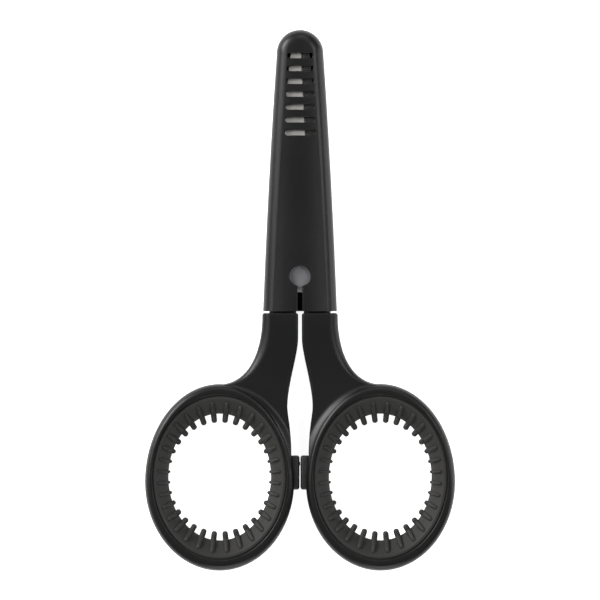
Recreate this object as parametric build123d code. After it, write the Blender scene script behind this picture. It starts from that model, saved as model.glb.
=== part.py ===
"""Small finger-ring thread scissors in a vented slip-on cap.

The pieces are drawn about the pivot: X to the right, Y towards the blade tips, Z towards the front
face, with Z = 0 between the two blades. Each node is then moved so that the origin is under the
middle of the whole object, on the surface it lies on. All sizes are in millimetres.
"""

import os

from build123d import *

# Blades: flat steel, one over the other, each with a tang that its handle is moulded on.
blade_reach = 58.0          # pivot to tip
blade_thick = 1.5
blade_gap = 0.04            # between the two inner faces
spine_at_pivot = 6.4        # spine to the centre line, beside the pivot
spine_foot_above = 1.6      # pivot to the foot of the spine's bow
spine_at_tip = 2.05
spine_bulge = 0.5           # crown of the spine over a straight line
edge_at_heel = 2.7          # how far the cutting edge passes the centre line, at the heel
edge_at_tip = 0.05
heel_above_pivot = 4.8
tip_round = 0.9
bevel_width = 1.1
bevel_drop = 1.2            # how much of the thickness the bevel takes
boss_below = 4.05           # steel under the pivot, above the crotch
crotch_drop = 0.3           # slope of the crotch, down to the tang
tang_relief = 0.2           # tang's inner side to the neck's
tang_relief_below = 1.5     # crotch to the start of that relief
shoulder_above_neck = 1.08  # tang's outer shoulder to the top of the neck
tang_width = 5.0
tang_offset = 4.2           # tang's middle to the centre line, at the seam
tang_lean = 2.0             # how much further out its end lies
tang_length = 15.0          # seam to tang end
tang_hole_r = 1.1
tang_hole_pitch = 6.0

# Pivot: a plain-headed bolt and a slotted round nut, with a nylon washer under each.
bolt_r = 2.0
bolt_clearance = 0.03
head_r = 3.1
head_height = 0.8
head_bevel = 0.25
thread_r = 1.45
nut_r = 2.9
nut_height = 0.8
nut_slot_width = 0.8
nut_slot_depth = 0.4
washer_r = 4.0
washer_thick = 0.4
stack_clearance = 0.02      # between neighbours in the pivot stack

# Handles: a shank and an oval ring frame in one moulding.
seam_y = 9.25               # pivot to the handles' top faces
shank_step = 0.2            # how far a shank stands out past the cap, at the seam
shank_gap = 0.46            # inner side of a shank to the centre line
shank_thick = 8.6
shank_round = 1.7           # rounding along the shank's edges
shank_straight = 0.75       # straight part of its outer side, under the seam
waist_out = 3.15            # inner side at the waist, between shank and ring
waist_y = 33.3              # pivot to the waist
fork_y = 15.5               # pivot to where the shanks part
ring_half_width = 18.55
ring_above = 24.35          # ring's widest place to its top
ring_below = 22.0           # ring's widest place to its bottom
ring_y = 51.25              # pivot to the ring's widest place
ring_apart = 1.45           # ring's side to the centre line
ring_thick = 9.2
frame_side = 1.85           # frame's width at the ring's sides
frame_end = 2.7             # frame's width at the ring's ends
frame_outer_round = 1.2
frame_inner_round = 0.45
neck_height = 2.75          # spigot that goes into the cap
neck_gap = 0.95             # spigot to the centre line
neck_root = 1.0             # how deep it is rooted in the shank
fork_pull = 0.23            # how far the outline's curves keep straight on from the fork, above and
above_waist_pull = 0.34     # below the waist, above the ring's side and along the flare, each as a
below_waist_pull = 0.28     # share of its own run
ring_pull = 0.67
flare_pull = 0.6

# Soft finger rings with fins, inside the frames.
grip_recess = 0.4           # below the frame's rim, on each face
grip_lip = 0.5              # flat lip round the funnel
funnel_side = 3.95          # grip's outer edge to its narrow waist, at the ring's sides
funnel_end = 4.72           # the same at the ring's ends
fin_stand_side = 0.45       # how far the fins stand in past the waist, at the sides
fin_stand_end = 2.25        # the same at the ends
fin_count = 32
fin_root_width = 1.2
fin_tip_width = 0.9
fin_flat = 0.5              # half height of a fin's blunt tip
fin_run = 3.4               # length of a fin's sides
groove = 0.35               # bevel round the grip's outer edge

# Stop pads between the rings.
stop_height = 8.4
stop_y = 48.95              # pivot to the pads' middle
stop_depth = 1.0            # how deep a pad sits in its frame
stop_gap = 0.12             # pad to the centre line
stop_half_thick = 3.0
stop_round = 0.7
nub_r = 0.55
nub_height = 0.18
nub_above = 2.2             # nub over the pad's middle

# Cap: a tapered sheath that closes on the necks.
seam_gap = 0.45             # cap's open end to the handles
heel_room = 1.55            # inside of the cap to the blades' spines, beside the pivot
tip_side_room = 2.5         # the same at the blades' tips
head_room = 0.49            # inside of the cap to the bolt's head
tip_flat_room = 1.13        # inside of the nose to the blades' flat faces
cap_bow = 0.25              # crown of the cap's sides
cap_crown = 1.4             # crown of the front and back faces
cap_wall = 1.25
cap_round = 2.9             # rounding between the faces and the sides
least_round = 0.5           # the least rounding inside
tip_room = 2.0              # blade tip to the inside of the nose
neck_clearance = 0.15
vent_count = 7
vent_pitch = 3.19
vent_height = 1.34
vent_first = 5.3            # inside of the nose to the first vent
vent_half_first = 3.2
vent_half_last = 3.8
keyhole_r = 2.6
keyslot_width = 1.2
cap_edge_round = 0.18       # along the vents, the keyhole and its slot

cut_over = 0.001            # how far a cutting solid passes the face that it cuts
run_out = 1.0               # how far a form that is trimmed or cut away later runs on
same = 0.01                 # sizes this close are the same
ring_x = ring_apart + ring_half_width
ring_mid_y = -ring_y + (ring_above - ring_below) / 2
ring_half_height = (ring_above + ring_below) / 2
cap_mouth_y = -(seam_y - seam_gap)
cap_end_inside_y = blade_reach + tip_room
cap_end_y = cap_end_inside_y + cap_wall
ring_bottom_y = -(ring_y + ring_below)
blade_near = blade_gap / 2
blade_far = blade_near + blade_thick
under_head = blade_far + washer_thick + 2 * stack_clearance
cap_half_mouth = spine_at_pivot + heel_room + cap_wall
cap_nose_r = spine_at_tip + tip_side_room + cap_wall
cap_half_thick_mouth = under_head + head_height + head_room + cap_wall
cap_half_thick_nose = blade_far + tip_flat_room + cap_wall
shank_half = cap_half_mouth + shank_step
seat_half_width = ring_half_width - frame_side
seat_half_height = ring_half_height - frame_end
waist_half_width = seat_half_width - funnel_side
waist_half_height = seat_half_height - funnel_end
fin_tip_half_width = waist_half_width - fin_stand_side
fin_tip_half_height = waist_half_height - fin_stand_end

shift = Location((0, -(cap_end_y + ring_bottom_y) / 2, ring_thick / 2))


def slab(face, low, high):
    """A flat face in the plan, carried from one height to another."""
    return extrude(Pos(0, 0, low) * face, amount=high - low, dir=(0, 0, 1))


def closed_face(*edges):
    """The face inside a closed line of edges."""
    return make_face(Wire(list(edges)))


def ellipse_at(half_width, half_height, height=0.0):
    """An ellipse about the ring's middle, at a height."""
    return Pos(ring_x, ring_mid_y, height) * Ellipse(half_width, half_height).face()


def turned_over(shape):
    """The same piece for the other half: turned half round about the scissors' long axis."""
    return Rot(0, 180, 0) * shape


# Blades


def blade_plan():
    """Outline of the front blade: spine on the left, edge on the right, tang to the right."""
    spine_foot = (-spine_at_pivot, spine_foot_above)
    spine_top = (-spine_at_tip, blade_reach)
    edge_top = (edge_at_tip, blade_reach)
    heel = (edge_at_heel, heel_above_pivot)
    tang_top_out = (tang_offset + tang_width / 2, -(seam_y - neck_height - shoulder_above_neck))
    tang_top_in = (tang_offset - tang_width / 2, -seam_y)
    end_mid = tang_offset + tang_lean
    end_y = -seam_y - tang_length
    tang_end_out = (end_mid + tang_width / 2, end_y)
    tang_end_in = (end_mid - tang_width / 2, end_y)
    crotch = (neck_gap, -boss_below - crotch_drop)
    relief = (neck_gap + tang_relief, -boss_below - tang_relief_below)
    middle = ((spine_foot[0] + spine_top[0]) / 2 - spine_bulge, (spine_foot[1] + spine_top[1]) / 2)
    return closed_face(
        ThreePointArc(spine_foot, middle, spine_top),
        Line(spine_top, edge_top),
        Line(edge_top, heel),
        Spline(heel, tang_top_out, tangents=[(0.3, -1), (0, -1)]),
        Line(tang_top_out, tang_end_out),
        Line(tang_end_out, tang_end_in),
        Line(tang_end_in, tang_top_in),
        Line(tang_top_in, relief),
        Line(relief, crotch),
        Line(crotch, (0, -boss_below)),
        Spline((0, -boss_below), spine_foot, tangents=[(-1, 0), (0, 1)]),
    )


def front_blade():
    """Steel blade with a ground bevel on its outer face, a rivet hole and two tang holes."""
    body = slab(blade_plan(), blade_near, blade_far)
    tip_corners = [e for e in body.edges().filter_by(Axis.Z) if e.center().Y > blade_reach - same]
    body = fillet(tip_corners, tip_round)
    edge_line = Vector(edge_at_tip - edge_at_heel, blade_reach - heel_above_pivot, 0)
    grind = Plane(
        origin=(edge_at_heel, heel_above_pivot, blade_far - bevel_drop),
        x_dir=edge_line,
        z_dir=edge_line.cross(Vector(-bevel_width, 0, bevel_drop)).cross(edge_line) * -1,
    )
    waste = grind * Pos(edge_line.length / 2, 0, 0) * Box(
        edge_line.length + 2 * tip_round, 8 * bevel_width, 4 * blade_thick,
        align=(Align.CENTER, Align.CENTER, Align.MIN),
    )
    middle_of_blade = Pos(-spine_at_tip, blade_reach / 2, blade_near) * Box(same, same, same)
    if (waste & middle_of_blade).volume > 0:
        raise ValueError("the bevel takes the wrong side of the blade")
    body -= waste
    holes = Cylinder(bolt_r + bolt_clearance, 4 * blade_thick)
    for step in (1, 2):
        share = step * tang_hole_pitch / tang_length
        spot = (tang_offset + tang_lean * share, -seam_y - step * tang_hole_pitch)
        holes += Pos(*spot) * Cylinder(tang_hole_r, 4 * blade_thick)
    return body - holes


# Pivot

upward = (Align.CENTER, Align.CENTER, Align.MIN)
downward = (Align.CENTER, Align.CENTER, Align.MAX)


def pivot_bolt():
    """A flat head with a bevelled rim in front, a plain shank and a thinner threaded end."""
    head = Pos(0, 0, under_head) * Cylinder(head_r, head_height, align=upward)
    head = chamfer(head.edges().group_by(Axis.Z)[-1], head_bevel)
    shank = Cylinder(bolt_r, 2 * under_head)
    thread = Cylinder(thread_r, under_head + nut_height - nut_slot_depth, align=downward)
    return head + shank + thread


def pivot_nut():
    """Round nut with a spanner slot across its outer face."""
    nut = Cylinder(nut_r, nut_height, align=downward)
    nut = chamfer(nut.edges().group_by(Axis.Z)[0], head_bevel)
    slot = Pos(0, 0, -nut_height) * Box(3 * nut_r, nut_slot_width, 2 * nut_slot_depth)
    bore = Cylinder(thread_r + bolt_clearance, 3 * nut_height)
    return Pos(0, 0, -under_head) * (nut - slot - bore)


def front_washer():
    """Flat washer between the front blade and the bolt's head."""
    ring = Cylinder(washer_r, washer_thick, align=upward)
    hole = Cylinder(bolt_r + bolt_clearance, 3 * washer_thick)
    return Pos(0, 0, blade_far + stack_clearance) * (ring - hole)


# Cap


def cap_plan(inset, tail):
    """Outline of the cap: two gently bowed sides and a round nose."""
    nose = cap_nose_r - inset
    nose_y = cap_end_y - cap_nose_r
    half = cap_half_mouth - inset
    lean = (cap_half_mouth - cap_nose_r) / (nose_y - cap_mouth_y)
    foot_x, foot_y = half + lean * tail, cap_mouth_y - tail
    mid_x, mid_y = (half + nose) / 2 + cap_bow, (cap_mouth_y + nose_y) / 2
    return closed_face(
        ThreePointArc((foot_x, foot_y), (mid_x, mid_y), (nose, nose_y)),
        ThreePointArc((nose, nose_y), (0, nose_y + nose), (-nose, nose_y)),
        ThreePointArc((-nose, nose_y), (-mid_x, mid_y), (-foot_x, foot_y)),
        Line((-foot_x, foot_y), (foot_x, foot_y)),
    )


def cap_section(half_width, half_thick, y):
    """Cross-section of the cap's front and back faces, each a shallow arc."""
    plane = Plane(origin=(0, y, 0), x_dir=(1, 0, 0), z_dir=(0, -1, 0))
    edge = half_thick - cap_crown
    return plane * closed_face(
        ThreePointArc((half_width, edge), (0, half_thick), (-half_width, edge)),
        Line((-half_width, edge), (-half_width, -edge)),
        ThreePointArc((-half_width, -edge), (0, -half_thick), (half_width, -edge)),
        Line((half_width, -edge), (half_width, edge)),
    )


def cap_form(inset, tail):
    """The cap's outer form, or its hollow when inset by the wall."""
    wide = cap_half_mouth + run_out
    slope = (cap_half_thick_mouth - cap_half_thick_nose) / (cap_end_y - cap_mouth_y)
    wedge = loft(
        [
            cap_section(wide, cap_half_thick_mouth - inset + slope * tail, cap_mouth_y - tail),
            cap_section(wide, cap_half_thick_nose - inset, cap_end_y),
        ]
    )
    body = slab(cap_plan(inset, tail), -3 * cap_half_thick_mouth, 3 * cap_half_thick_mouth) & wedge
    open_end = cap_mouth_y - tail + same
    corners = [e for e in body.edges() if abs(e.center().Z) > same and e.center().Y > open_end]
    return fillet(corners, max(cap_round - inset, least_round))


def on_front_face(edge):
    """True for the edges that the vents, the keyhole and its slot make in the cap's front face."""
    spot = edge.center()
    depth = (spot.Y - cap_mouth_y) / (cap_end_y - cap_mouth_y)
    half_thick = cap_half_thick_mouth + (cap_half_thick_nose - cap_half_thick_mouth) * depth
    near_middle = abs(spot.X) < vent_half_last + cut_over and spot.Z > half_thick - cap_wall / 2
    return near_middle and spot.Y > cap_mouth_y + cut_over


def cap():
    """Vented sheath with a keyhole over the rivet."""
    shell = cap_form(0.0, 0.0) - cap_form(cap_wall, run_out)
    low, high = blade_far, cap_half_thick_mouth + run_out
    keyslot = Pos(0, (cap_mouth_y - run_out) / 2) * Rectangle(keyslot_width, run_out - cap_mouth_y)
    cuts = slab(Circle(keyhole_r).face(), low, high) + slab(keyslot.face(), low, high)
    for number in range(vent_count):
        share = number / (vent_count - 1)
        half = vent_half_first + (vent_half_last - vent_half_first) * share
        y = cap_end_inside_y - vent_first - number * vent_pitch
        slot = Pos(0, y, 0) * SlotOverall(2 * half, vent_height)
        cuts += slab(slot.face(), low, high)
    shell -= cuts
    return fillet([e for e in shell.edges() if on_front_face(e)], cap_edge_round)


# Handles


def handle_plan():
    """Outline of the right handle: shank, waist and ring in one smooth line."""
    top_y = -seam_y
    side_y = top_y - shank_straight
    ring_top = (ring_x, -ring_y + ring_above)
    flare_x, flare_y = ring_x - shank_half, ring_above - ring_y - side_y
    waist = (waist_out, -waist_y)
    fork = (shank_gap, -fork_y)
    ring_inner = (ring_apart, -ring_y)
    fork_drop, waist_drop = waist_y - fork_y, ring_y - waist_y
    return closed_face(
        Line((shank_half, top_y), (shank_gap, top_y)),
        Line((shank_gap, top_y), fork),
        Bezier(
            fork,
            (shank_gap, -fork_y - fork_pull * fork_drop),
            (waist_out, -waist_y + above_waist_pull * fork_drop),
            waist,
        ),
        Bezier(
            waist,
            (waist_out, -waist_y - below_waist_pull * waist_drop),
            (ring_apart, -ring_y + ring_pull * waist_drop),
            ring_inner,
        ),
        EllipticalCenterArc((ring_x, -ring_y), ring_half_width, ring_below, 180, arc_size=180),
        EllipticalCenterArc((ring_x, -ring_y), ring_half_width, ring_above, 0, arc_size=90),
        Bezier(
            ring_top,
            (ring_x - flare_pull * flare_x, ring_top[1]),
            (shank_half, side_y + flare_pull * flare_y),
            (shank_half, side_y),
        ),
        Line((shank_half, side_y), (shank_half, top_y)),
    )


def ring_plan():
    """Outline of the ring alone."""
    return closed_face(
        EllipticalCenterArc((ring_x, -ring_y), ring_half_width, ring_below, 180, arc_size=180),
        EllipticalCenterArc((ring_x, -ring_y), ring_half_width, ring_above, 0, arc_size=180),
    )


def grip_seat():
    """Inner wall of the frame, which the soft ring fits."""
    return ellipse_at(seat_half_width, seat_half_height)


def seat_length():
    """Length round the frame's inner wall."""
    return grip_seat().outer_wire().length


def neck():
    """Spigot on top of the handle: the cap's hollow, less a clearance, rooted in the shank."""
    block = Pos(neck_gap, -seam_y - neck_root, 0) * Box(
        cap_half_mouth, neck_height + neck_root, 2 * cap_half_thick_mouth,
        align=(Align.MIN, Align.MIN, Align.CENTER),
    )
    return cap_form(cap_wall + neck_clearance, seam_gap + neck_root) & block


def right_handle(blade):
    """Shank, ring frame and neck in one moulding, shaped round the blade's tang."""
    plate = slab(handle_plan(), -shank_thick / 2, shank_thick / 2)
    rims = plate.faces().filter_by(Axis.Z)
    plate = fillet([e for f in rims for e in f.edges()], shank_round)
    ring = slab(ring_plan(), -ring_thick / 2, ring_thick / 2)
    ring = fillet([e for f in ring.faces().filter_by(Axis.Z) for e in f.edges()], frame_outer_round)
    body = plate + ring - slab(grip_seat(), -ring_thick, ring_thick)
    seat_rims = []
    for face_height in (-ring_thick / 2, ring_thick / 2):
        rims = [e for e in body.edges() if abs(e.center().Z - face_height) < same]
        seat_rims.append(min(rims, key=lambda e: abs(e.length - seat_length())))
    body = fillet(seat_rims, frame_inner_round)
    body += neck()
    return body - blade - stop_block()


def stop_block():
    """Body of the right stop pad, let into the ring frame."""
    low, high = stop_gap, ring_apart + stop_depth
    return Pos((low + high) / 2, -stop_y, 0) * Box(high - low, stop_height, 2 * stop_half_thick)


def right_stop():
    """Soft pad that its partner closes on."""
    block = stop_block()
    face_edges = block.edges().group_by(Axis.X)[0]
    return fillet(face_edges, stop_round)


def left_stop():
    """The partner pad, with a small nub that touches first."""
    pad = mirror(right_stop(), Plane.YZ)
    nub = Pos(-stop_gap, -stop_y + nub_above, 0) * Rot(0, 90, 0) * Cylinder(nub_r, 2 * nub_height)
    return pad + nub


# Soft finger rings


def funnel(low_x, low_y, high_x, high_y, low_z, high_z):
    """Opening that widens from one ellipse to another, going up."""
    return loft([ellipse_at(low_x, low_y, low_z), ellipse_at(high_x, high_y, high_z)])


def both_faces(shape):
    """A shape and its mirror image on the other face."""
    return shape + mirror(shape, Plane.XY)


def right_grip():
    """Soft ring: funnels from both faces to a narrow waist, with fins that stand in from it."""
    half = ring_thick / 2 - grip_recess
    block = slab(grip_seat(), -half, half)
    body = chamfer([e for f in block.faces().filter_by(Axis.Z) for e in f.edges()], groove)
    edge_x, edge_y = seat_half_width - groove, seat_half_height - groove
    top = half + cut_over
    opening = funnel(waist_half_width, waist_half_height, edge_x - grip_lip, edge_y - grip_lip, 0, top)
    tip_line = Pos(ring_x, ring_mid_y) * Ellipse(fin_tip_half_width, fin_tip_half_height).wire()
    fins = None
    for number in range(fin_count):
        at = (number + 0.5) / fin_count
        spot, along = tip_line.position_at(at), tip_line.tangent_at(at)
        outward = along.rotate(Axis.Z, -90)
        plane = Plane(origin=(spot.X, spot.Y, 0), x_dir=outward, z_dir=(0, 0, 1))
        root, tip = fin_root_width / 2, fin_tip_width / 2
        tongue = plane * closed_face(
            ThreePointArc((tip, tip), (0, 0), (tip, -tip)),
            Line((tip, -tip), (fin_run, -root)),
            Line((fin_run, -root), (fin_run, root)),
            Line((fin_run, root), (tip, tip)),
        )
        solid = slab(tongue, -half, half)
        fins = solid if fins is None else fins + solid
    clear = funnel(fin_tip_half_width, fin_tip_half_height, edge_x, edge_y, fin_flat, top)
    return (body - both_faces(opening)) + ((fins & block) - both_faces(clear))


nodes = {}
blade = front_blade()
nodes["front_blade"] = blade
nodes["back_blade"] = turned_over(blade)
nodes["pivot_bolt"] = pivot_bolt()
nodes["pivot_nut"] = pivot_nut()
nodes["front_washer"] = front_washer()
nodes["rear_washer"] = turned_over(nodes["front_washer"])
nodes["right_handle"] = right_handle(blade)
nodes["left_handle"] = turned_over(nodes["right_handle"])
nodes["right_stop"] = right_stop()
nodes["left_stop"] = left_stop()
nodes["right_grip"] = right_grip()
nodes["left_grip"] = mirror(nodes["right_grip"], Plane.YZ)
nodes["cap"] = cap()

os.makedirs("parts", exist_ok=True)
for name, shape in nodes.items():
    export_step(shift * shape, f"parts/{name}.step")
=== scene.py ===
import math

import bmesh
import bpy
import numpy as np
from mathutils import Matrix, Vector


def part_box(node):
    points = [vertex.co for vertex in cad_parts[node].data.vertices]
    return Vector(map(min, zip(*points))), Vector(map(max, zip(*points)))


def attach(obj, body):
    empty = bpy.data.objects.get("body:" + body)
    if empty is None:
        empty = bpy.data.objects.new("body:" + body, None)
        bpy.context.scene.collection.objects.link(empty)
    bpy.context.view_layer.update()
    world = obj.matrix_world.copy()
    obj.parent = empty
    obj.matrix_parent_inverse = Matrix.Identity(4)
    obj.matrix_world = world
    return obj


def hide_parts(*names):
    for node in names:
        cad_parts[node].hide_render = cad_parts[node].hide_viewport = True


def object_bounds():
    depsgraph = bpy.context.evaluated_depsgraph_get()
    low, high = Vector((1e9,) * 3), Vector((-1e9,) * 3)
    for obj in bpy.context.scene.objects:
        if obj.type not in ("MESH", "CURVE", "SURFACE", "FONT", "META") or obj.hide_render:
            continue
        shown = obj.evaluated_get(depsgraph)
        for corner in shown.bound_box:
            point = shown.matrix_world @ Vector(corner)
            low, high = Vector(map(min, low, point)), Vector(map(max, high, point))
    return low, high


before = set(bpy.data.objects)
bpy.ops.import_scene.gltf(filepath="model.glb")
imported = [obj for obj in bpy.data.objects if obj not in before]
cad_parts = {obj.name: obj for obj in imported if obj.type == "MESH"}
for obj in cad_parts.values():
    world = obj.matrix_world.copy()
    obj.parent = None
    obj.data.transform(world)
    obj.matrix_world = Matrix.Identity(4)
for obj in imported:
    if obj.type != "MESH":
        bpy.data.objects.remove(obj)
cad_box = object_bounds()
mm = 0.001


# ---- The stage ----------------------------------------------------------------------------------
# The snips lie on their back on a seamless white light table, with soft lights all round and none
# overhead. The camera looks straight down, from so far away that the sides of the rings hardly show.

low, high = (np.array(corner) for corner in cad_box)
middle = (low + high) / 2
length = high[1] - low[1]
floor_reach = 14 * length
floor_corners = [(x * floor_reach, y * floor_reach, 0) for x, y in ((-1, -1), (1, -1), (1, 1), (-1, 1))]
floor_mesh = bpy.data.meshes.new("floor")
floor_mesh.from_pydata(floor_corners, [], [(0, 1, 2, 3)])
floor = bpy.data.objects.new("floor", floor_mesh)
bpy.context.scene.collection.objects.link(floor)

camera_height = 9 * length
picture_side = 150 * mm         # what the square picture takes in, at the object
camera_data = bpy.data.cameras.new("camera")
camera_data.sensor_width = 36
camera_data.lens = camera_data.sensor_width * camera_height / picture_side
camera = bpy.data.objects.new("camera", camera_data)
camera.location = (middle[0], middle[1], camera_height)
bpy.context.scene.collection.objects.link(camera)
bpy.context.scene.camera = camera


def soft_light(name, place, side, watts):
    """A square area light at a place, turned towards the middle of the object."""
    lamp = bpy.data.lights.new(name, "AREA")
    lamp.shape = "SQUARE"
    lamp.size = side
    lamp.energy = watts
    light = bpy.data.objects.new(name, lamp)
    light.location = place
    x, y, z = middle - np.array(place)
    light.rotation_euler = (math.atan2(math.hypot(x, y), -z), 0, math.atan2(y, x) - math.pi / 2)
    bpy.context.scene.collection.objects.link(light)


soft_light("key", (-0.66, 0.42, 0.42), 0.40, 10.5)
soft_light("back_bank", (0.10, 0.85, 0.70), 0.60, 2.7)
soft_light("left_bank", (-0.52, 0.12, 0.80), 0.40, 2.3)
soft_light("right_bank", (0.47, 0.18, 0.83), 0.32, 2.7)
soft_light("right_low", (0.78, 0.05, 0.20), 0.36, 1.8)
soft_light("foot_fill", (0.05, -0.75, 0.36), 0.40, 3.0)

studio = bpy.data.worlds.new("studio")
studio.use_nodes = True
studio.node_tree.nodes["Background"].inputs["Color"].default_value = (1, 1, 1, 1)
studio.node_tree.nodes["Background"].inputs["Strength"].default_value = 0.06
bpy.context.scene.world = studio
bpy.context.scene.view_settings.view_transform = "Standard"


class Socket:
    """A shader node's output. Its operators make Math nodes, and node() makes any other node."""

    def __init__(self, tree, output=None):
        self.tree, self.output = tree, output

    def node(self, kind, settings=None, sockets=None, output=0):
        """Adds a node: its settings first, then a value or a link for each socket; gives one output."""
        made = self.tree.nodes.new(kind)
        for name, value in (settings or {}).items():
            setattr(made, name, value)
        for key, value in (sockets or {}).items():
            if isinstance(value, Socket):
                self.tree.links.new(value.output, made.inputs[key])
            else:
                made.inputs[key].default_value = value
        return Socket(self.tree, made.outputs[output])

    def math(self, operation, first, second):
        """A Math node's value, from two sockets or numbers."""
        return self.node("ShaderNodeMath", {"operation": operation}, {0: first, 1: second})

    def __add__(self, other):
        return self.math("ADD", self, other)

    def __sub__(self, other):
        return self.math("SUBTRACT", self, other)

    def __rsub__(self, other):
        return self.math("SUBTRACT", other, self)

    def __mul__(self, other):
        return self.math("MULTIPLY", self, other)

    __radd__ = __add__
    __rmul__ = __mul__


def new_finish(name):
    """A material with one Principled shader, and a Socket that its nodes start from."""
    material = bpy.data.materials.new(name)
    material.use_nodes = True
    return material, Socket(material.node_tree)


def set_shader(material, fixed, linked):
    """Sets the shader's fixed values and links what changes over the surface."""
    shader = material.node_tree.nodes["Principled BSDF"]
    for key, value in fixed.items():
        shader.inputs[key].default_value = value
    for key, value in linked.items():
        material.node_tree.links.new(value.output, shader.inputs[key])


def two_tone(start, dark, light, mask):
    """A colour that goes from dark to light with a mask."""
    return start.node(
        "ShaderNodeMix", {"data_type": "RGBA"}, {0: mask, 6: (*dark, 1), 7: (*light, 1)}, output=2
    )


def place_on(start, scale=(1, 1, 1)):
    """Object coordinates in millimetres, stretched by a scale."""
    where = start.node("ShaderNodeTexCoord", output=3)
    per_mm = tuple(s / mm for s in scale)
    return start.node("ShaderNodeMapping", {}, {0: where, 3: per_mm})


def noise(start, where, scale, detail=2.0, roughness=0.5):
    """Noise with a scale in repeats per millimetre."""
    return start.node(
        "ShaderNodeTexNoise", {}, {"Vector": where, "Scale": scale, "Detail": detail, "Roughness": roughness}
    )


def bump(start, height, depth):
    """A bumped normal; depth is the relief's height in millimetres."""
    return start.node("ShaderNodeBump", {}, {"Height": height, "Distance": depth * mm, "Strength": 1.0})


# The sweep gives off a little light of its own, so that narrow gaps over it stay white.
floor_paint, paint = new_finish("white_sweep")
mottle = noise(paint, place_on(paint), 0.02)
set_shader(
    floor_paint,
    {"Roughness": 0.9, "Specular IOR Level": 0.1, "Emission Color": (1, 1, 1, 1), "Emission Strength": 0.85},
    {"Base Color": two_tone(paint, (0.93, 0.93, 0.93), (0.96, 0.96, 0.96), mottle)},
)
floor_mesh.materials.append(floor_paint)


# ---- The blades ---------------------------------------------------------------------------------
# Two stamped and ground blades of stainless steel, one over the other. Outside they are satin ground
# along the blade; the inner faces, which slide on each other, are polished after grinding, and their
# colour is painted dark as painted shade, for the shade inside the cap.

# The first tone is painted shade on the polished inner faces, darker than the steel is; it is also the dark
# end of the satin faces' random scratch tone.
polished_shade_and_dark_scratch, satin_light = (0.38, 0.372, 0.357), (0.80, 0.784, 0.75)
polished_roughness = 0.24
scratch_stretch = (14, 0.35, 14)    # repeats per millimetre across, along and through the blade


def ground_steel(name, inner_side):
    """Steel with fine scratches along Y and cloudy tones; it is polished where it faces the inner side, and
    there its colour is painted dark as painted shade.
    """
    material, start = new_finish(name)
    scratches = noise(start, place_on(start, scratch_stretch), 1.0, 3.0, 0.6)
    clouds = noise(start, place_on(start), 0.12)
    normal = start.node("ShaderNodeTexCoord", output=1)
    facing = start.node("ShaderNodeSeparateXYZ", {}, {0: normal}, output=2)
    polished_and_shaded = start.math("GREATER_THAN", facing * inner_side, 0.9)
    satin = 0.46 + 0.12 * scratches + 0.05 * clouds
    satin_tone = scratches * 0.6 + clouds * 0.4
    set_shader(
        material,
        {},
        {
            # Random scratch and cloud tone on the satin faces; on the polished inner face, a flat painted
            # shade.
            "Base Color": two_tone(start, polished_shade_and_dark_scratch, satin_light, satin_tone * (1 - polished_and_shaded)),
            "Metallic": 0.8 + 0.2 * polished_and_shaded,
            "Roughness": satin - (satin - polished_roughness) * polished_and_shaded,
            "Normal": bump(start, scratches * (1 - 0.95 * polished_and_shaded), 0.003),
        },
    )
    return material


for blade, inner_side in (("front_blade", -1), ("back_blade", 1)):
    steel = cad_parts[blade].data.materials
    steel.clear()
    steel.append(ground_steel(f"{blade}_steel", inner_side))


# ---- The pivot ----------------------------------------------------------------------------------
# A plain-headed bolt through both blades, held by a slotted round nut behind. The head is blasted
# dull grey. A white nylon washer lies under the head and another under the nut.

blasted_dark, blasted_light = (0.145, 0.145, 0.152), (0.225, 0.225, 0.236)
nylon_dull, nylon_white = (0.80, 0.79, 0.75), (0.9, 0.89, 0.86)


def blasted_steel():
    """Dull grey blasted steel: fine grain in the relief and the tone."""
    material, start = new_finish("blasted_pivot_steel")
    grain = noise(start, place_on(start), 9.0, 3.0, 0.6)
    wear = noise(start, place_on(start), 0.8)
    set_shader(
        material,
        {"Metallic": 0.85},
        {
            "Base Color": two_tone(start, blasted_dark, blasted_light, grain * 0.6 + wear * 0.4),
            "Roughness": 0.48 + 0.15 * grain,
            "Normal": bump(start, grain, 0.012),
        },
    )
    return material


def natural_nylon():
    """White nylon: faint mottling and a soft moulded sheen."""
    material, start = new_finish("natural_nylon")
    mottled = noise(start, place_on(start), 2.0)
    set_shader(
        material,
        {"Subsurface Weight": 0.1, "Subsurface Scale": 0.001},
        {
            "Base Color": two_tone(start, nylon_dull, nylon_white, mottled),
            "Roughness": 0.4 + 0.1 * mottled,
        },
    )
    return material


pivot_finish = {"pivot_bolt": blasted_steel(), "front_washer": natural_nylon()}
pivot_finish["pivot_nut"] = pivot_finish["pivot_bolt"]
pivot_finish["rear_washer"] = pivot_finish["front_washer"]
for name, finish in pivot_finish.items():
    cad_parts[name].data.materials.clear()
    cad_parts[name].data.materials.append(finish)


# ---- The cap ------------------------------------------------------------------------------------
# One injection moulding in black plastic, drawn to a round nose: seven vents that let damp blades
# dry, and a keyhole over the bolt's head that lets its mouth spring. A spark-eroded mould made it matte.

cap_black, cap_black_light = (0.0036, 0.0036, 0.0038), (0.0072, 0.0072, 0.0075)


def eroded_plastic(name, dark, light, roughness, grain_depth):
    """Black plastic with a fine pitted grain and, over it, faint broad changes of sheen."""
    material, start = new_finish(name)
    grain = noise(start, place_on(start), 3.2, 3.0, 0.62)
    pits = start.node("ShaderNodeTexVoronoi", {}, {"Vector": place_on(start), "Scale": 4.2})
    sheen = noise(start, place_on(start), 0.09)
    set_shader(
        material,
        {"Specular IOR Level": 0.26},
        {
            "Base Color": two_tone(start, dark, light, grain * 0.6 + sheen * 0.4),
            "Roughness": roughness + 0.08 * grain + 0.06 * sheen,
            "Normal": bump(start, grain * 0.6 + pits * 0.4, grain_depth),
        },
    )
    return material


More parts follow.
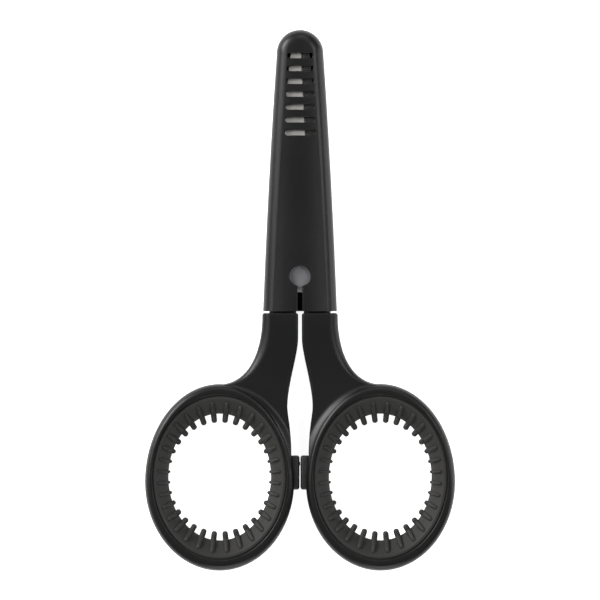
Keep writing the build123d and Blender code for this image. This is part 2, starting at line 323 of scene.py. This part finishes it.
cap_plastic = eroded_plastic("eroded_cap_plastic", cap_black, cap_black_light, 0.29, 0.010)
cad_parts["cap"].data.materials.clear()
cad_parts["cap"].data.materials.append(cap_plastic)


# ---- The handles --------------------------------------------------------------------------------
# Each handle is one moulding in the same black plastic, polished a little more: a flat shank round
# the blade's tang, a raised oval ring frame, and a neck on top that the cap closes over.

bolt_low, bolt_high = (np.array(corner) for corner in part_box("pivot_bolt"))
handle_low, handle_high = (np.array(corner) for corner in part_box("right_handle"))
neck_height = 2.75 * mm
pivot = np.array([0.0, (bolt_low[1] + bolt_high[1]) / 2, (handle_low[2] + handle_high[2]) / 2])
seam = handle_high[1] - neck_height - pivot[1]
ring_half = (handle_high[2] - handle_low[2]) / 2
ring_half_width = 18.55 * mm
ring_above, ring_below = 24.35 * mm, 22.0 * mm  # the two half ovals of its outline
ring_x = handle_high[0] - ring_half_width
ring_y = handle_low[1] + ring_below - pivot[1]
frame_side, frame_end = 1.85 * mm, 2.7 * mm     # the frame's width beside and at the ends of the ring
seat_y = ring_y + (ring_above - ring_below) / 2
seat_half_width = ring_half_width - frame_side
seat_half_height = (ring_above + ring_below) / 2 - frame_end
weld_distance = 0.0005 * mm
sharpest_smooth = 0.9           # an edge that turns more, in radians, is drawn sharp


def add_piece(name, shells, side, finish, body, stands_for):
    """One object from shells of (points, quads) about the pivot, mirrored in X for the left half."""
    points = np.concatenate([p.reshape(-1, 3) for p, _ in shells])
    starts = np.cumsum([0] + [p.reshape(-1, 3).shape[0] for p, _ in shells[:-1]])
    quads = np.concatenate([q + start for (_, q), start in zip(shells, starts)])
    points = points * (side, 1, 1) + pivot
    if side < 0:
        quads = quads[:, ::-1]
    mesh = bpy.data.meshes.new(name)
    mesh.from_pydata(points.tolist(), [], quads.tolist())
    welded = bmesh.new()
    welded.from_mesh(mesh)
    bmesh.ops.remove_doubles(welded, verts=welded.verts, dist=weld_distance)
    bmesh.ops.recalc_face_normals(welded, faces=welded.faces)
    welded.to_mesh(mesh)
    welded.free()
    mesh.shade_smooth()
    mesh.set_sharp_from_angle(angle=sharpest_smooth)
    mesh.materials.append(finish)
    piece = bpy.data.objects.new(name, mesh)
    bpy.context.scene.collection.objects.link(piece)
    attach(piece, body)
    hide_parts(stands_for)


def grid_quads(rows, columns, wrap_rows=False, wrap_columns=False):
    """Quads of a grid whose points run row by row; a wrapped way joins its last line to its first."""
    down = np.arange(rows if wrap_rows else rows - 1)[:, None]
    over = np.arange(columns if wrap_columns else columns - 1)[None, :]
    row, next_row = down * columns, (down + 1) % rows * columns
    next_over = (over + 1) % columns
    corners = [row + over, row + next_over, next_row + next_over, next_row + over]
    return np.stack(corners, -1).reshape(-1, 4)


def smooth_step(x):
    """0 below 0, 1 above 1, and 3x^2 - 2x^3 between."""
    x = np.clip(x, 0, 1)
    return x * x * (3 - 2 * x)


def seat_point(angle, outward=0.0):
    """Point of the frame's inner oval at an angle, moved outward: (a cos, b sin) about its middle."""
    return (
        ring_x + (seat_half_width + outward) * np.cos(angle),
        seat_y + (seat_half_height + outward) * np.sin(angle),
    )


def ring_point(angle):
    """Point of the ring's outline: half ovals of one width and two heights, joined at the sides."""
    rise = np.where(np.sin(angle) > 0, ring_above, ring_below)
    return ring_x + ring_half_width * np.cos(angle), ring_y + rise * np.sin(angle)


def oval_corner(count, width, depth, power=2.0):
    """Quarter of an oval of a power, (1 - (1 - d)^p)^(1/p): how far in and how far down, from the top."""
    turn = np.linspace(0, np.pi / 2, count)
    return width * (1 - np.sin(turn) ** (2 / power)), depth * (1 - np.cos(turn) ** (2 / power))


rim_round, rim_depth, rim_power = 1.45 * mm, 1.9 * mm, 1.8      # the rim's outer rounding
least_flat = 0.5 * mm           # what is left of the rim's top where the frame is narrow
seat_round, seat_depth = 0.25 * mm, 0.22 * mm   # the rounding of the edge round the soft ring


def ring_frame():
    """Ring frame: a closed section carried round the ring, between its seat and its outline.

    The section goes up the seat, over the front rim and down the outside, and the same way behind. A
    point lies on the line from the seat to the outline, at its own distance from the seat.
    """
    angle = np.linspace(0, 2 * np.pi, 320, endpoint=False)[:, None]
    inner = np.stack(seat_point(angle), -1)
    outer = np.stack(ring_point(angle), -1)
    width = np.hypot(*(outer - inner)[:, 0].T)[:, None]
    seat_in, seat_down = oval_corner(7, seat_round, seat_depth)
    rim_share, rim_down = oval_corner(16, 1.0, rim_depth, rim_power)
    rim_in = rim_share * np.minimum(width - least_flat, rim_round)
    wall = np.linspace(1, 0, 6)[1:]
    from_seat = np.concatenate([seat_in[::-1] + 0 * width, width - rim_in, width + 0 * wall], 1)
    down = np.concatenate([seat_down[::-1], rim_down, ring_half - (ring_half - rim_down[-1]) * wall])
    height = (ring_half - down)[None, :] + 0 * width
    from_seat = np.concatenate([from_seat, from_seat[:, -2::-1]], 1)
    height = np.concatenate([height, -height[:, -2::-1]], 1)
    share = (from_seat / width)[:, :, None]
    points = np.concatenate([inner + (outer - inner) * share, height[:, :, None]], -1)
    return points, grid_quads(*height.shape, wrap_rows=True, wrap_columns=True)


def bezier(points, count=40):
    """Cubic curve, in millimetres, through its first and last points, drawn towards the two between."""
    t = np.linspace(0, 1, count)[:, None]
    a, b, c, d = (np.array(p)[None, :] * mm for p in points)
    return a * (1 - t) ** 3 + 3 * b * t * (1 - t) ** 2 + 3 * c * t * t * (1 - t) + d * t**3


def along(path, at):
    """Points of a path at lengths along it."""
    run = np.concatenate([[0], np.cumsum(np.hypot(*np.diff(path, axis=0).T))])
    return np.stack([np.interp(at, run, path[:, 0]), np.interp(at, run, path[:, 1])], -1)


def path_length(path):
    """Length of a path of points in the plan."""
    return np.hypot(*np.diff(path, axis=0).T).sum()


def edge_drop(distance, width, depth, power=1.7):
    """How far an edge has fallen at a distance from the side: a quarter oval, which is 0 past its width."""
    left = np.clip(1 - distance / width, 0, 1)
    return depth * (1 - (1 - left**power) ** (1 / power))


slit, shoulder = 0.46, 9.4      # the shank's two sides at the seam, from the centre line, in mm
fork = (slit, -15.5)            # where the shanks begin to part
waist = (3.15, -33.3)           # where they are furthest apart
ring_side = (2.3, -50.0)        # where the inner side runs into the ring
ring_top = (20.0, -26.93)       # where the outer side runs into it
seam_edge = 0.35 * mm           # rounding at the seam
corner_round = 0.55 * mm        # rounding in the plan of the two corners at the seam
side_ease, side_drop = 2.0 * mm, 1.7 * mm       # the outer side's long rounding
slit_ease, ease_more, slit_drop = 0.45, 1.35, 1.5 * mm      # the inner side's, which widens downwards
widens_from, widens_to = -16.0, -30.0           # along the shank
shank_face, shank_fall, fall_length = 4.3, 0.75, 17 * mm    # half the thickness, and how it falls off
under_rim = 0.9 * mm            # how far the shank's foot goes into the ring frame
below_rim = 0.18 * mm           # from the rim's top down to the swell's
swell_start, swell_reach = 1.1 * mm, 2.0 * mm   # measured outwards from the seat
foot_start, foot_end = np.pi * 0.995, np.pi * 0.5   # the foot's angles on the seat's oval
ease_steps = np.array([0, 0.03, 0.08, 0.16, 0.28, 0.44, 0.62, 0.82, 1.0])


def shank_plate():
    """Shank: a plate stretched between four curves, with eased edges, that swells up to the rim.

    In the plan a point is what the two sides give, plus what the seam and the ring give, less what
    the corners give twice. Its front is level, less what each edge drops, plus the swell at the rim.
    """
    top = seam / mm
    straight = top - 0.75
    inner = np.concatenate(
        [
            bezier([(slit, top), (slit, top - 2), (slit, -13.5), fork]),
            bezier([fork, (slit, -19.6), (waist[0], -27.2), waist])[1:],
            bezier([waist, (waist[0], -38.3), (1.62, -39.8), ring_side])[1:],
        ]
    )
    outer = np.concatenate(
        [
            bezier([(shoulder, top), (shoulder, top - 0.3), (shoulder, top - 0.5), (shoulder, straight)]),
            bezier([(shoulder, straight), (shoulder, -20.14), (13.64, ring_top[1]), ring_top])[1:],
        ]
    )
    inner_length, outer_length = path_length(inner), path_length(outer)
    step = seam_edge * ease_steps / outer_length
    t = np.concatenate([step, np.linspace(step[-1], 1, 72)[1:]])[:, None]
    left = along(inner, (outer_length * t + (inner_length - outer_length) * t * t)[:, 0])[:, None]
    right = along(outer, (outer_length * t)[:, 0])[:, None]
    span = np.hypot(*(right - left)[:, 0].T)[:, None]
    widened = smooth_step((widens_from - left[:, 0, 1:] / mm) / (widens_from - widens_to))
    inner_ease = (slit_ease + ease_more * widened) * mm
    between = np.linspace(0, 1, 26)[1:-1]
    near_slit = ease_steps * inner_ease / span
    mid_plate = inner_ease / span + (1 - (inner_ease + side_ease) / span) * between
    near_side = 1 - ease_steps[::-1] * side_ease / span
    s = np.concatenate([near_slit, mid_plate, near_side], 1)
    seam_row = np.stack([slit * mm + (shoulder - slit) * mm * s, seam + 0 * s], -1)
    ring_row = np.stack(seat_point(foot_start - s * (foot_start - foot_end), under_rim), -1)
    first = np.stack(seat_point(foot_start, under_rim))
    last = np.stack(seat_point(foot_end, under_rim))
    s3, t3 = s[:, :, None], t[:, :, None]
    plan = (1 - s3) * left + s3 * right + (1 - t3) * seam_row + t3 * ring_row
    plan -= (1 - t3) * ((1 - s3) * inner[0] + s3 * outer[0]) + t3 * ((1 - s3) * first + s3 * last)
    from_seam = outer_length * t + 0 * s
    for edge, turn in ((s * span, 1), ((1 - s) * span, -1)):
        a = np.clip(1 - edge / corner_round, 0, 1)
        b = np.clip(1 - from_seam / corner_round, 0, 1)
        plan[:, :, 0] += turn * corner_round * a * (1 - np.sqrt(1 - b * b / 2))
        plan[:, :, 1] -= corner_round * b * (1 - np.sqrt(1 - a * a / 2))
    x, y = plan[:, :, 0], plan[:, :, 1]
    across, up = (x - ring_x) / seat_half_width, (y - seat_y) / seat_half_height
    oval = np.hypot(across, up)
    outward = (oval - 1) * oval / np.hypot(across / seat_half_width, up / seat_half_height)
    level = (shank_face - shank_fall * smooth_step((seam - y) / fall_length)) * mm
    swell = (ring_half - below_rim - level) * smooth_step(1 - (outward - swell_start) / swell_reach)
    drop = edge_drop(s * span, inner_ease, slit_drop)
    drop = drop + edge_drop((1 - s) * span, side_ease, side_drop, 2.0)
    drop = np.maximum(drop, edge_drop(from_seam, seam_edge, seam_edge, 2.0))
    height = level + swell - drop
    front = np.stack([x, y, height], -1)
    rows, columns = height.shape
    count = rows * columns
    quads = grid_quads(rows, columns)
    number = np.arange(count).reshape(rows, columns)
    rim = np.concatenate([number[0, :-1], number[:-1, -1], number[-1, :0:-1], number[:0:-1, 0]])
    wall = np.stack([rim, np.roll(rim, -1), np.roll(rim, -1) + count, rim + count], -1)
    points = np.concatenate([front.reshape(-1, 3), front.reshape(-1, 3) * (1, 1, -1)])
    return points, np.concatenate([quads[:, ::-1], quads + count, wall])


def rounded_box(low_corner, high_corner, radius):
    """A ball's surface cut in eight and drawn apart by the box's core, in millimetres."""
    steps = 5
    low_corner, high_corner = np.array(low_corner) * mm, np.array(high_corner) * mm
    core = (high_corner - low_corner) / 2 - radius * mm
    quarter = np.linspace(0, np.pi / 2, steps)
    lon = np.concatenate([quarter + k * np.pi / 2 for k in range(4)])
    lon_x = np.repeat([1, -1, -1, 1], steps)
    lon_y = np.repeat([1, 1, -1, -1], steps)
    lat = np.concatenate([quarter - np.pi / 2, quarter])[:, None]
    lat_z = np.repeat([-1, 1], steps)[:, None]
    ball = np.stack([np.cos(lat) * np.cos(lon), np.cos(lat) * np.sin(lon), np.sin(lat) + 0 * lon], -1)
    signs = np.stack([lon_x + 0 * lat_z, lon_y + 0 * lat_z, lat_z + 0 * lon_x], -1)
    points = (low_corner + high_corner) / 2 + signs * core + ball * radius * mm
    floor_lid = np.arange(4)[::-1] * steps
    top_lid = (2 * steps - 1) * 4 * steps + np.arange(4) * steps
    around = grid_quads(2 * steps, 4 * steps, wrap_columns=True)
    return points, np.concatenate([around, [floor_lid, top_lid]])


handle_black, handle_black_light = (0.004, 0.004, 0.0042), (0.0065, 0.0065, 0.0068)
handle_plastic = eroded_plastic("satin_handle_plastic", handle_black, handle_black_light, 0.30, 0.006)
neck_low = (0.95, seam / mm - 0.9, -2.2)
neck_high = (7.65, seam / mm + neck_height / mm, 2.2)
neck_round = 1.0
for hand, side in (("right", 1), ("left", -1)):
    shells = [ring_frame(), shank_plate(), rounded_box(neck_low, neck_high, neck_round)]
    add_piece(f"{hand}_handle_moulding", shells, side, handle_plastic, f"{hand}_half", f"{hand}_handle")


# ---- The soft finger rings ----------------------------------------------------------------------
# Each ring frame holds a ring of soft black elastomer, pushed in past its lips. It narrows from both
# faces to a waist, and 32 blunt fins stand up out of it so that a finger is held without pressing.

funnel_side, funnel_end = 3.95 * mm, 4.72 * mm  # the funnel's width beside and at the ends of the ring
waist_half_width = seat_half_width - funnel_side
waist_half_height = seat_half_height - funnel_end
stand_side, stand_end = 0.45 * mm, 2.25 * mm    # how far the fins stand out of the waist
lip_width, lip_height, groove_depth = 0.95 * mm, 4.1 * mm, 0.22 * mm
fin_count = 32
fin_nose = 0.6 * mm             # length of a fin's rounded tip
# A fin's half width, in mm: beside the ring, what is added at its ends, and what is gained outwards.
fin_side, fin_more_at_end, fin_widening = 0.4, 0.3, 0.08
fin_proud, fin_sinking = 1.15, 1.5              # over the funnel's face, and lost at the fin's end, in mm
fin_cover = 0.88                # share of the funnel's face that a fin runs up
fin_squareness = 0.62           # power of its section: 1 is an oval, 0 a rectangle


def funnel_height(inward, width):
    """Height of the soft ring's face at a distance in from the seat: a groove, a lip, then a funnel.

    The funnel falls as the distance to the waist to the power 0.8, so that it is round at the waist.
    """
    to_waist = np.clip((width - inward) / (width - lip_width), 0, 1)
    groove = groove_depth * smooth_step(1.0 - inward / (0.5 * lip_width))
    return lip_height * to_waist**0.8 - groove


def soft_ring():
    """The soft ring without its fins: its face carried round the oval, front and back, to the seat."""
    angle = np.linspace(0, 2 * np.pi, 288, endpoint=False)[:, None]
    seat = np.stack(seat_point(angle), -1)
    throat_x = ring_x + waist_half_width * np.cos(angle)
    throat_y = seat_y + waist_half_height * np.sin(angle)
    throat = np.stack([throat_x, throat_y], -1)
    width = np.hypot(*(seat - throat)[:, 0].T)[:, None]
    to_lip = np.linspace(0, 1, 12)[None, :] * lip_width + 0 * width
    to_waist = lip_width + (width - lip_width) * (1 - (1 - np.linspace(0, 1, 22)[None, 1:]) ** 1.6)
    inward = np.concatenate([to_lip, to_waist], 1)
    height = funnel_height(inward, width)
    inward = np.concatenate([inward, inward[:, -2::-1]], 1)
    height = np.concatenate([height, -height[:, -2::-1]], 1)
    share = (inward / width)[:, :, None]
    plan = seat * (1 - share) + throat * share
    points = np.concatenate([plan, height[:, :, None]], -1)
    return points, grid_quads(*height.shape, wrap_rows=True, wrap_columns=True)[:, ::-1]


def fins():
    """All the fins: each a blunt tongue along the normal of the oval through the fin tips.

    Half width and half height at a run from the tip are ovals at the tip. From there the back of a fin
    follows the funnel's face, standing proud of it, and goes under it at the fin's end.
    """
    fine = np.linspace(0, 2 * np.pi, 4001)
    tip_x, tip_y = waist_half_width - stand_side, waist_half_height - stand_end
    oval = np.stack([tip_x * np.cos(fine), tip_y * np.sin(fine)], -1)
    total = path_length(oval)
    spot = along(oval, (np.arange(fin_count) + 0.5) / fin_count * total)
    angle = np.arctan2(spot[:, 1] / tip_y, spot[:, 0] / tip_x)
    outward = np.stack([np.cos(angle) / tip_x, np.sin(angle) / tip_y], -1)
    outward /= np.hypot(*outward.T)[:, None]
    steep = np.sin(angle) ** 2
    stand = stand_side + (stand_end - stand_side) * steep
    width = funnel_side + (funnel_end - funnel_side) * steep
    stand, width = stand[:, None, None], width[:, None, None]
    reach_out = stand + fin_cover * (width - lip_width)
    share = np.concatenate([[0, 0.01, 0.03, 0.06, 0.1], np.linspace(0.15, 1, 14), [1]])[None, :, None]
    turn = np.linspace(0, 2 * np.pi, 20, endpoint=False)[None, None, :]
    nose = np.sqrt(1 - np.clip(1 - share * reach_out / fin_nose, 0, 1) ** 2)
    nose[:, -1] = 0
    face = funnel_height(width - np.clip(share * reach_out - stand, 0, None), width)
    proud = fin_proud - fin_sinking * share**7
    broad = fin_side + fin_more_at_end * smooth_step(steep / 0.35)[:, None, None]
    half_width = nose * (broad + fin_widening * share) * mm
    half_height = nose * (1 + (face / mm + proud).clip(0, None) ** 3) ** (1 / 3) * mm
    sideways = half_width * np.sign(np.cos(turn)) * np.abs(np.cos(turn)) ** fin_squareness
    height = half_height * np.sign(np.sin(turn)) * np.abs(np.sin(turn)) ** fin_squareness
    run = share * reach_out + 0 * turn
    out_x, out_y = outward[:, 0, None, None], outward[:, 1, None, None]
    x = ring_x + spot[:, 0, None, None] + out_x * run - out_y * sideways
    y = seat_y + spot[:, 1, None, None] + out_y * run + out_x * sideways
    points = np.stack([x, y, height], -1)
    rows, columns = points.shape[1:3]
    one = grid_quads(rows, columns, wrap_columns=True)[:, ::-1]
    quads = np.concatenate([one + k * rows * columns for k in range(fin_count)])
    return points, quads


ring_black, ring_bloom = (0.013, 0.0127, 0.012), (0.024, 0.0233, 0.022)


def elastomer():
    """Matte elastomer: warm near-black, with a fine bloom on it and a soft, shallow grain."""
    material, start = new_finish("soft_ring_elastomer")
    grain = noise(start, place_on(start), 4.5, 3.0, 0.6)
    bloom = noise(start, place_on(start), 0.35, 2.0, 0.6)
    set_shader(
        material,
        {"Specular IOR Level": 0.3},
        {
            "Base Color": two_tone(start, ring_black, ring_bloom, grain * 0.35 + bloom * 0.65),
            "Roughness": 0.58 + 0.12 * grain,
            "Normal": bump(start, grain, 0.02),
        },
    )
    return material


ring_elastomer = elastomer()
for hand, side in (("right", 1), ("left", -1)):
    shells = [soft_ring(), fins()]
    add_piece(f"{hand}_soft_ring", shells, side, ring_elastomer, f"{hand}_half", f"{hand}_grip")


# ---- The stop pads ------------------------------------------------------------------------------
# A small pad of harder black elastomer is let into each ring where the two would knock together. The
# left one has a nub that touches first and takes the click out of the closing.

stop_low, stop_high = ((np.array(corner) - pivot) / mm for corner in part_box("right_stop"))
pad_round, nub_half, nub_round = 0.62, 0.55, 0.3
nub_above = 2.2                 # nub over the pad's middle
pad = rounded_box(stop_low, stop_high, pad_round)
nub_y = (stop_low[1] + stop_high[1]) / 2 + nub_above
nub = rounded_box((-0.05, nub_y - nub_half, -nub_half), (0.7, nub_y + nub_half, nub_half), nub_round)
pad_black, pad_rubbed = (0.003, 0.003, 0.003), (0.007, 0.007, 0.007)


def pad_elastomer():
    """Harder elastomer: blacker, a little shinier, with rubbed patches where the pads meet."""
    material, start = new_finish("stop_pad_elastomer")
    rubbed = noise(start, place_on(start), 0.9, 3.0, 0.6)
    set_shader(
        material,
        {"Specular IOR Level": 0.4},
        {
            "Base Color": two_tone(start, pad_black, pad_rubbed, rubbed),
            "Roughness": 0.42 + 0.15 * rubbed,
            "Normal": bump(start, rubbed, 0.01),
        },
    )
    return material


stop_elastomer = pad_elastomer()
add_piece("right_stop_pad", [pad], 1, stop_elastomer, "right_half", "right_stop")
add_piece("left_stop_pad", [pad, nub], -1, stop_elastomer, "left_half", "left_stop")
